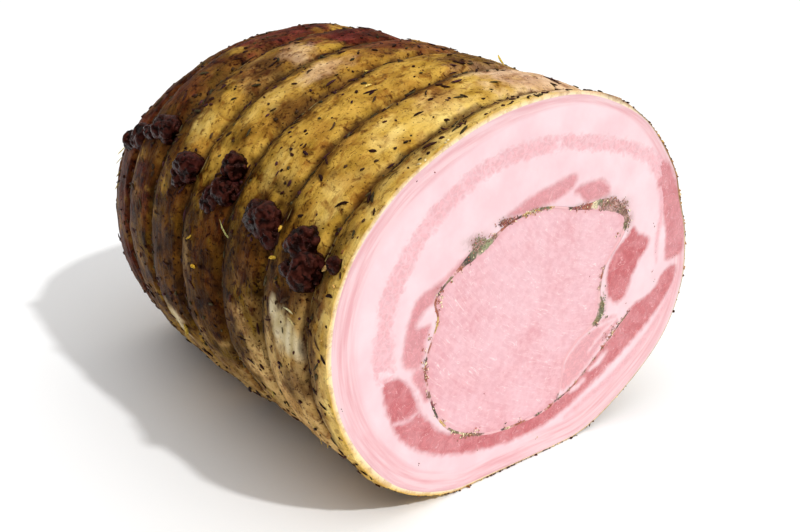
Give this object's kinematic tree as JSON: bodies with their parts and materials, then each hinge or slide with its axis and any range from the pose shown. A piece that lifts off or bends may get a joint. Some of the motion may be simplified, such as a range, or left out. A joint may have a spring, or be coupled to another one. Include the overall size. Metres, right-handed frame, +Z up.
{
  "type": "porchetta",
  "caption": "Half of a rolled roast pork belly with rind, cut straight across to show a pale loin, a herb seam and layered belly; string grooves and dark juice beads outside.",
  "frame": {"origin": "on the surface the roll rests on, under the middle of its bounding box", "axes": "+Y along the roll from the cut face to the roasted end, +Z up, +X to the right when facing the cut face"},
  "size_m": [0.1922, 0.218, 0.1549],
  "materials": {
    "roast_belly": "roast pork rind, golden brown and half matt, over cooked fat and lean",
    "cooked_loin": "moist pale pink cooked loin, cut across the grain",
    "chopped_herbs": "chopped rosemary and fennel, matt",
    "dried_juice": "dark dried pan juice, glossy"
  },
  "bodies": {
    "root": {"belly": "roast_belly", "loin": "cooked_loin", "herb_seam": "chopped_herbs", "juice_bead_1": "dried_juice", "juice_bead_2": "dried_juice", "juice_bead_3": "dried_juice", "juice_bead_4": "dried_juice", "juice_bead_5": "dried_juice", "juice_bead_6": "dried_juice", "juice_bead_7": "dried_juice"}
  },
  "joints": []
}
